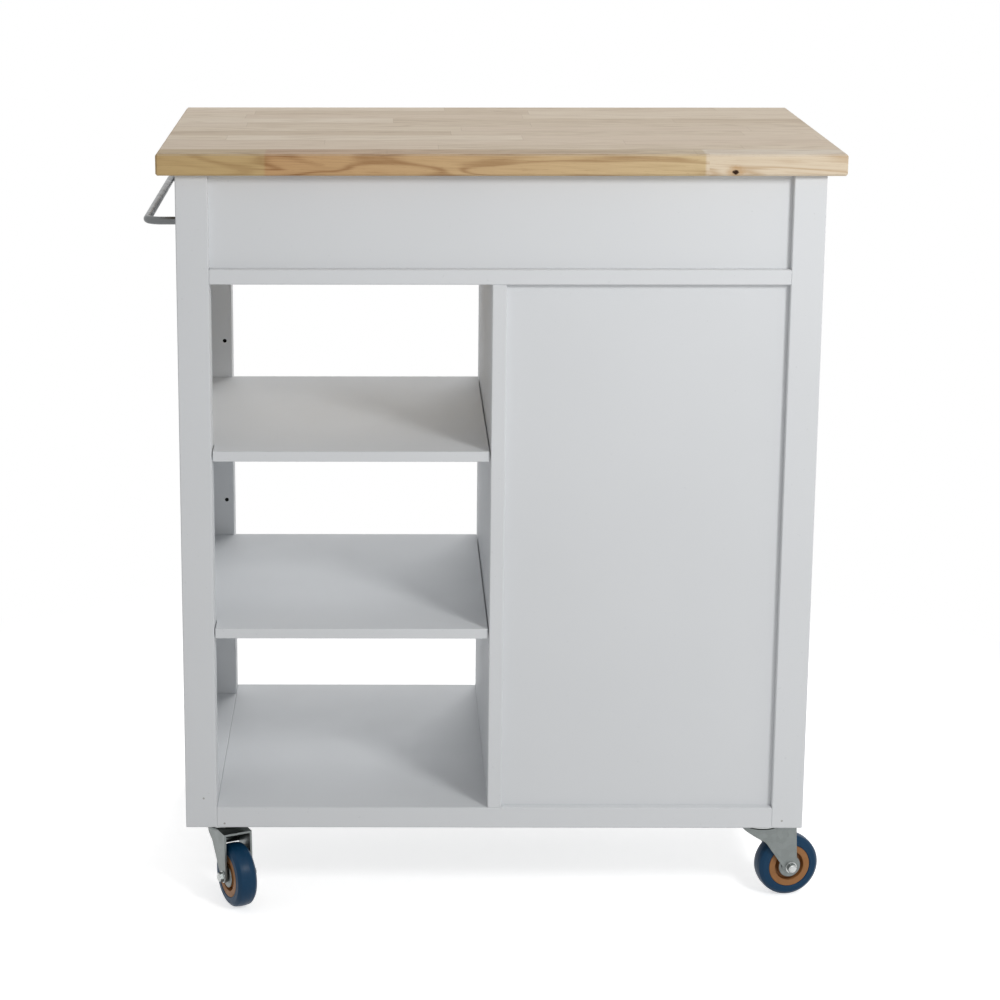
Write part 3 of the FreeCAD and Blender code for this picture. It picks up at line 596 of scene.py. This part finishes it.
def make_tyre(corner):
    """A solid tyre: a crowned tread, round shoulders and a raised bead beside the rim."""
    side = [(RIM_RADIUS - 0.0006, WHEEL_HALF_WIDTH - 0.0030), (RIM_RADIUS, WHEEL_HALF_WIDTH - 0.0004),
            (RIM_RADIUS + 0.0016, WHEEL_HALF_WIDTH), (RIM_RADIUS + 0.0030, WHEEL_HALF_WIDTH - 0.0003),
            (WHEEL_RADIUS - 0.0046, WHEEL_HALF_WIDTH - 0.0004),
            (WHEEL_RADIUS - 0.0008, WHEEL_HALF_WIDTH - 0.0038), (WHEEL_RADIUS, 0.0030),
            (WHEEL_RADIUS, 0.0)]
    profile = rounded(side, 0.0030)
    turned_piece(f"tyre_moulding_{corner}", profile, wheel_seats(corner), tyre_blue,
                 f"wheel_{corner}", [f"tyre_{corner}"], segments=128)


def make_rim(corner):
    """A moulded rim: an outer ring, a deep groove, and the hub that holds the bearing."""
    groove = WHEEL_HALF_WIDTH - RIM_GROOVE_DEPTH
    side = [(BORE_RADIUS, 0.0), (BORE_RADIUS, WHEEL_HALF_WIDTH - 0.0006),
            (HUB_RADIUS - 0.0004, WHEEL_HALF_WIDTH - 0.0006), (HUB_RADIUS, groove),
            (RING_INNER - 0.0004, groove), (RING_INNER, WHEEL_HALF_WIDTH - 0.0007),
            (RIM_RADIUS - 0.0004, WHEEL_HALF_WIDTH - 0.0005), (RIM_RADIUS, 0.0)]
    turned_piece(f"rim_moulding_{corner}", rounded(side, 0.0007), wheel_seats(corner), rim_orange,
                 f"wheel_{corner}", [f"rim_{corner}"])


def make_dust_covers(corner):
    """Pressed steel covers over the bearings, one on each side of the wheel."""
    face = WHEEL_HALF_WIDTH - 0.0006
    profile = rounded([(HUB_RADIUS - 0.0003, face), (HUB_RADIUS - 0.0003, face + 0.0007),
                       (0.0118, face + 0.0013), (0.0095, face + 0.0009), (0.0066, face + 0.0019),
                       (0.0047, face + 0.0019), (0.0046, face)], 0.0006)
    turned_piece(f"bearing_covers_{corner}", profile, wheel_seats(corner), zinc,
                 f"wheel_{corner}")


def make_axle_caps(corner):
    """A thin washer under the axle's head and nut, and the domed end of each."""
    washer = rounded([(0.0040, FORK_HALF_WIDTH), (0.0070, FORK_HALF_WIDTH),
                      (0.0070, FORK_HALF_WIDTH + 0.0008), (0.0040, FORK_HALF_WIDTH + 0.0008)],
                     0.0003)
    end = FORK_HALF_WIDTH + BOLT_HEAD_HEIGHT
    dome = rounded([(0.0052, end - 0.0010), (0.0050, end + 0.0002), (0.0036, end + 0.0016),
                    (0.0, end + 0.0021)], 0.0010)
    work = bmesh.new()
    for seat in wheel_seats(corner):
        lathe(work, washer, seat)
        lathe(work, dome, seat)
    finish_piece(f"axle_caps_{corner}", work, bright_zinc, f"caster_{corner}")


def swivel_seat(corner):
    """An upright frame on the floor under a caster's swivel."""
    pivot = joints[f"swivel_{corner}"]["pos_m"]
    return upright_at((pivot[0], pivot[1], 0.0))


PLATE_UNDERSIDE = 0.0975
CUP_UNDERSIDE = 0.0913


def make_raceways():
    """The rolled lip of each raceway cup, pressed out below the mounting plate."""
    profile = rounded([(RACEWAY_RADIUS - 0.0002, PLATE_UNDERSIDE),
                       (RACEWAY_RADIUS + 0.0008, PLATE_UNDERSIDE - 0.0010),
                       (RACEWAY_RADIUS + 0.0026, CUP_UNDERSIDE + 0.0022),
                       (RACEWAY_RADIUS + 0.0026, CUP_UNDERSIDE + 0.0004),
                       (RACEWAY_RADIUS - 0.0002, CUP_UNDERSIDE + 0.0001)], 0.0010)
    seats = [swivel_seat(corner) for corner in CORNERS]
    turned_piece("raceway_lips", profile, seats, bright_zinc, "carcass")


# The lip's section: how far ahead of the swivel, and how high.
WEB_LIP = ((0.0008, 0.0736), (0.0012, 0.0721), (0.0052, 0.0664), (0.0066, 0.0673),
           (0.0029, 0.0732), (0.0010, 0.0746))
FORK_HALF_GAP = 0.0151


def make_web_lip(corner):
    """The turned-down lower edge of a fork's sloping web, which closes it behind the tyre."""
    foot = swivel_seat(corner).translation
    axle = Vector(joints[f"roll_{corner}"]["pos_m"])
    ahead = Vector((axle.x - foot.x, axle.y - foot.y, 0)).normalized()
    up = Vector((0, 0, 1))
    across = ahead.cross(up)
    turned = Matrix((ahead, up, across)).transposed().to_4x4()
    seat = Matrix.Translation(foot - across * FORK_HALF_GAP) @ turned
    work = bmesh.new()
    prism(work, WEB_LIP, seat, 2 * FORK_HALF_GAP)
    finish_piece(f"fork_web_lip_{corner}", work, zinc, f"caster_{corner}")


PLATE_SCREW_OFFSET = 0.0235


def make_plate_screws():
    """Four pan-head screws up through the corners of each mounting plate."""
    head = rounded([(0.0, PLATE_UNDERSIDE - 0.0024), (0.0026, PLATE_UNDERSIDE - 0.0023),
                    (0.0041, PLATE_UNDERSIDE - 0.0010), (0.0042, PLATE_UNDERSIDE)], 0.0010)
    seats = []
    for corner in CORNERS:
        for x in (-PLATE_SCREW_OFFSET, PLATE_SCREW_OFFSET):
            for y in (-PLATE_SCREW_OFFSET, PLATE_SCREW_OFFSET):
                seats.append(swivel_seat(corner) @ upright_at((x, y, 0.0)))
    turned_piece("plate_screws", head, seats, screw_steel, "carcass", segments=24)


# ---- knobs, towel bar and other fittings ----

def make_knob(node_name, body):
    """A turned knob: a waisted neck, a flare and a softly domed face with a fine ring."""
    low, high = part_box(node_name)
    reach = high[1] - low[1]
    radius = (high[0] - low[0]) / 2
    profile = rounded([(0.0, reach), (0.55 * radius, reach - 0.0003), (0.62 * radius, reach - 0.0008),
                       (0.68 * radius, reach - 0.0003), (0.93 * radius, reach - 0.0011),
                       (radius, reach - 0.0030), (radius, reach - 0.0075),
                       (0.62 * radius, reach - 0.0125), (0.43 * radius, reach - 0.0175),
                       (0.43 * radius, 0.0014), (0.60 * radius, 0.0008), (0.62 * radius, 0.0)],
                      0.0022)
    middle = ((low[0] + high[0]) / 2, low[1], (low[2] + high[2]) / 2)
    turned_piece(node_name.replace("knob", "pull"), profile, [axis_frame(middle, (0, 1, 0))],
                 knob_steel, body, [node_name])


ARC_HANDLE = 0.5523
BAR_BEND = 0.016


def make_towel_bar():
    """One bright rod bent into a flat U, drawn as a smooth curve."""
    low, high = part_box("towel_bar")
    radius = (high[2] - low[2]) / 2
    out, wall = low[0] + radius, high[0]
    height = (low[2] + high[2]) / 2
    curve = bpy.data.curves.new("towel_rod", "CURVE")
    curve.dimensions = "3D"
    curve.bevel_depth = radius
    curve.bevel_resolution = 8
    curve.resolution_u = 16
    rear, front = low[1] + radius, high[1] - radius
    path = [(wall, rear), (out + BAR_BEND, rear), (out, rear + BAR_BEND), (out, front - BAR_BEND),
            (out + BAR_BEND, front), (wall, front)]
    corners = {1: (out, rear), 2: (out, rear), 3: (out, front), 4: (out, front)}
    spline = curve.splines.new("BEZIER")
    spline.bezier_points.add(len(path) - 1)
    for i, (point, (x, y)) in enumerate(zip(spline.bezier_points, path)):
        point.co = (x, y, height)
        point.handle_left_type = point.handle_right_type = "FREE"
        point.handle_left = point.handle_right = point.co
    for i, corner in corners.items():
        point = spline.bezier_points[i]
        handle = point.co.lerp(Vector((*corner, height)), ARC_HANDLE)
        if i in (1, 3):
            point.handle_right = handle
        else:
            point.handle_left = handle
    curve.materials.append(bar_steel)
    rod = bpy.data.objects.new("towel_rod", curve)
    bpy.context.scene.collection.objects.link(rod)
    register(rod, "carcass", ["towel_bar"])


# Nail holes in the back, shown as small darker discs of painted shade: x and z on the body's rear face.
NAIL_HOLES = ((-0.339, 0.136), (0.336, 0.109), (-0.315, 0.105))


def make_nail_holes():
    """Small darker discs a hair proud of the paint: painted shade standing in for nail holes in the finished back.
    """
    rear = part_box("post_rear_left")[0][1]
    profile = rounded([(0.0, 0.0002), (0.0009, 0.0002), (0.0012, 0.0)], 0.0002)
    seats = [axis_frame((x, rear, z), (0, -1, 0)) for x, z in NAIL_HOLES]
    turned_piece("nail_hole_shade_discs", profile, seats, nail_hole_shade, "carcass",
                 segments=20)


# ---- the bay's left side, and the boards of the finished back ----
# The bay's side panel sits in a groove near the outer faces of the posts. So the shelves run on
# past the posts' inner faces, in notches round them, and their pins stand in the posts.

BAY_SHELVES = ("shelf_upper", "shelf_lower")
LOWER_RAIL_HEIGHT = 0.050
BAY_PANEL_INSET = 0.0025
BAY_PANEL_THICKNESS = 0.005
BAY_SHELF_GAP = 0.0010
BOARD_EASE = 0.0008
PIN_RADIUS = 0.0025
PIN_LENGTH = 0.016
PIN_DEPTH = 0.007
PIN_IN_FROM_EDGE = 0.009
SPARE_HOLE_RISE = 0.047
# How far in from the posts' rear faces the apron and the cabinet's back stand.
BACK_RECESS = 0.010


def finish_board(name, work, replaced, eased=True):
    """A painted board with flat faces, and softly eased edges where they show."""
    board = finish_piece(name, work, white_paint, "carcass", replaced)
    board.data.polygons.foreach_set("use_smooth", [False] * len(board.data.polygons))
    if eased:
        ease = board.modifiers.new("eased_edges", "BEVEL")
        ease.width = BOARD_EASE
        ease.segments = 2


def make_bay_side():
    """The left side's thin panel, and the rails that it is grooved into."""
    rear_low, rear_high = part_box("post_rear_left")
    front_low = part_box("post_front_left")[0]
    rails_low, rails_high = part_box("side_rails_left")
    floor_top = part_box("bottom_board")[1][2]
    rail_top = rails_low[2] + LOWER_RAIL_HEIGHT
    upper_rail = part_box("mid_rail_rear")[0][2]
    outer, inner = rear_low[0], rear_high[0]
    panel_outer = outer + BAY_PANEL_INSET
    panel_inner = panel_outer + BAY_PANEL_THICKNESS
    length = front_low[1] - rear_high[1]
    seat = Matrix.Translation((0, front_low[1], 0)) @ Matrix.Rotation(math.pi / 2, 4, "X")
    work = bmesh.new()
    prism(work, rectangle((panel_outer, rail_top), (panel_inner, upper_rail)), seat, length)
    finish_board("bay_side_panel", work, ["side_panel_left"])
    work = bmesh.new()
    prism(work, rectangle((outer, upper_rail), (inner, rails_high[2])), seat, length)
    prism(work, [(outer, rails_low[2]), (inner, rails_low[2]), (inner, floor_top),
                 (panel_inner, floor_top), (panel_inner, rail_top), (outer, rail_top)],
          seat, length)
    finish_board("bay_side_rails", work, ["side_rails_left"])


def make_bay_shelf(node_name):
    """A shelf notched round the two left posts, and reaching on to the side panel."""
    low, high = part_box(node_name)
    post_low, post_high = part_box("post_rear_left")
    past = post_low[0] + BAY_PANEL_INSET + BAY_PANEL_THICKNESS + BAY_SHELF_GAP
    beside = post_high[0] + BAY_SHELF_GAP
    rear = post_high[1] + BAY_SHELF_GAP
    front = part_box("post_front_left")[0][1] - BAY_SHELF_GAP
    plan = [(high[0], low[1]), (high[0], high[1]), (beside, high[1]), (beside, front),
            (past, front), (past, rear), (beside, rear), (beside, low[1])]
    work = bmesh.new()
    prism(work, plan, upright_at((0, 0, low[2])), high[2] - low[2])
    finish_board(f"bay_{node_name}", work, [node_name])


def post_face_seats(height):
    """Frames on the two left posts' faces across the bay, each looking towards the other."""
    rear_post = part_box("post_rear_left")[1]
    front_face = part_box("post_front_left")[0][1]
    x = rear_post[0] - PIN_IN_FROM_EDGE
    return [axis_frame((x, rear_post[1], height), (0, 1, 0)),
            axis_frame((x, front_face, height), (0, -1, 0))]


def make_bay_pins():
    """The shelf pins: those in the divider as they are, and those on the left in the posts."""
    source = nodes["shelf_pins"]
    work = bmesh.new()
    work.from_mesh(source.data)
    work.transform(source.matrix_world)
    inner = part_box("post_rear_left")[1][0]
    left = [vert for vert in work.verts if vert.co.x < inner + PIN_LENGTH]
    bmesh.ops.delete(work, geom=left, context="VERTS")
    tip = PIN_LENGTH - PIN_DEPTH
    profile = rounded([(0.0, -PIN_DEPTH), (PIN_RADIUS, -PIN_DEPTH), (PIN_RADIUS, tip),
                       (0.0, tip)], 0.0005)
    for shelf in BAY_SHELVES:
        for seat in post_face_seats(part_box(shelf)[0][2] - PIN_RADIUS):
            lathe(work, profile, seat, 32)
    finish_piece("shelf_pins_in_place", work, bright_zinc, "carcass", ["shelf_pins"])


def make_spare_holes():
    """Flat near-black discs on the left posts above each shelf: painted shade standing in for the spare pin holes.
    """
    profile = [(0.0, 0.0001), (PIN_RADIUS, 0.0001), (PIN_RADIUS, 0.0)]
    seats = []
    for shelf in BAY_SHELVES:
        seats += post_face_seats(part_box(shelf)[1][2] + SPARE_HOLE_RISE)
    turned_piece("spare_pin_hole_shade", profile, seats, hole_shade, "carcass",
                 segments=24)


def make_back_boards():
    """The apron and the cabinet's back, just in from the posts' rear faces."""
    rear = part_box("post_rear_left")[0][1] + BACK_RECESS
    for node_name in ("apron_panel_rear", "cabinet_back_panel"):
        low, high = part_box(node_name)
        work = bmesh.new()
        prism(work, rectangle((low[0], rear), (high[0], high[1])), upright_at((0, 0, low[2])),
              high[2] - low[2])
        finish_board(f"finished_{node_name}", work, [node_name], eased=False)


# ---- floor, lamps and camera ----

FLOOR_HALF = 6.0
FLOOR_GLOW = 0.62
SHADOW_REACH = (0.55, 1.15)
AMBIENT = 0.40


def seen_directly(tree):
    """1 for rays from the camera and for those that metal and glass reflect or pass."""
    rays = node(tree, "LightPath").outputs
    mirrored = maths(tree, "MAXIMUM", rays["Is Glossy Ray"], rays["Is Transmission Ray"])
    return maths(tree, "MAXIMUM", rays["Is Camera Ray"], mirrored)


def make_floor():
    """A pale floor that shows white, with the cart's own soft shadow close round it."""
    mesh = bpy.data.meshes.new("floor")
    corners = [(-FLOOR_HALF, -FLOOR_HALF, 0), (FLOOR_HALF, -FLOOR_HALF, 0),
               (FLOOR_HALF, FLOOR_HALF, 0), (-FLOOR_HALF, FLOOR_HALF, 0)]
    mesh.from_pydata(corners, [], [(0, 1, 2, 3)])
    floor = bpy.data.objects.new("floor", mesh)
    bpy.context.scene.collection.objects.link(floor)
    made = bpy.data.materials.new("pale_floor")
    made.use_nodes = True
    tree = made.node_tree
    tree.nodes.clear()
    point = node(tree, "TexCoord").outputs["Object"]
    away = node(tree, "VectorMath", {0: point}, operation="LENGTH").outputs["Value"]
    plain = spread(tree, away, *SHADOW_REACH, smooth=True)
    seen = seen_directly(tree)
    lit = node(tree, "BsdfDiffuse", {"Color": PALE_GREY})
    glow_strength = maths(tree, "MULTIPLY", seen, FLOOR_GLOW)
    glow = node(tree, "Emission", {"Color": WHITE, "Strength": glow_strength})
    near = node(tree, "AddShader", {0: lit.outputs[0], 1: glow.outputs[0]})
    far = node(tree, "Emission", {"Color": WHITE, "Strength": 1.0})
    cover = maths(tree, "MULTIPLY", plain, seen)
    both = node(tree, "MixShader", {0: cover, 1: near.outputs[0], 2: far.outputs[0]})
    out = node(tree, "OutputMaterial")
    put(tree, out.inputs["Surface"], both.outputs[0])
    mesh.materials.append(made)


def make_world():
    world = bpy.data.worlds.new("studio")
    bpy.context.scene.world = world
    world.use_nodes = True
    tree = world.node_tree
    background = tree.nodes["Background"]
    strength = maths(tree, "MULTIPLY_ADD", seen_directly(tree), 1.0 - AMBIENT, AMBIENT)
    put(tree, background.inputs["Color"], WHITE)
    put(tree, background.inputs["Strength"], strength)


# Each lamp's name, place, width, watts, and whether metal shows its reflection.
LAMPS = (
    ("key", (0.88, -1.53, 1.41), 0.36, 13.4, True),
    ("back", (-0.35, 2.45, 1.5), 1.2, 12, False),
    ("back_cabinet_side", (0.55, 2.4, 1.5), 1.0, 28, False),
    ("front_fill", (0.75, -2.8, 0.75), 1.2, 6, False),
    ("bar_side_fill", (-2.8, 0.3, 0.9), 1.0, 6, False),
    ("cabinet_side_fill", (2.8, 0.3, 0.9), 1.0, 6, False),
)
LAMP_TARGET = Vector((0, 0, 0.5))


def make_lamp(name, place, width, watts, reflected):
    """A square soft lamp aimed at the middle of the cart."""
    data = bpy.data.lights.new(name, "AREA")
    data.size = width
    data.energy = watts
    lamp = bpy.data.objects.new(name, data)
    lamp.location = place
    lamp.visible_glossy = reflected
    lamp.visible_camera = False
    aim = LAMP_TARGET - Vector(place)
    lamp.rotation_euler = aim.to_track_quat("-Z", "Y").to_euler()
    bpy.context.scene.collection.objects.link(lamp)


CAMERA_PLACE = (-0.1233, -3.0436, 1.2590)
CAMERA_PITCH = 0.22863
CAMERA_YAW = 0.00354
CAMERA_SHIFT = (0.12, -0.09)
SENSOR_WIDTH = 36.0
LENS = 92.8


def make_camera():
    data = bpy.data.cameras.new("camera")
    camera = bpy.data.objects.new("camera", data)
    camera.location = CAMERA_PLACE
    camera.rotation_euler = (math.pi / 2 - CAMERA_PITCH, 0.0, CAMERA_YAW)
    data.sensor_width = SENSOR_WIDTH
    data.lens = LENS
    data.shift_x, data.shift_y = CAMERA_SHIFT
    bpy.context.scene.collection.objects.link(camera)
    bpy.context.scene.camera = camera


def make_studio():
    make_floor()
    make_world()
    for lamp in LAMPS:
        make_lamp(*lamp)
    make_camera()
    bpy.context.scene.view_settings.view_transform = "Standard"


# ---- the whole cart ----

dress_cad_nodes()
for corner in CORNERS:
    make_tyre(corner)
    make_rim(corner)
    make_dust_covers(corner)
    make_axle_caps(corner)
    make_web_lip(corner)
make_raceways()
make_plate_screws()
make_bay_side()
for shelf in BAY_SHELVES:
    make_bay_shelf(shelf)
make_bay_pins()
make_spare_holes()
make_back_boards()
for side in SIDES:
    make_knob(f"drawer_knob_{side}", f"drawer_{side}")
make_knob("door_knob", "door")
make_towel_bar()
make_nail_holes()
make_studio()
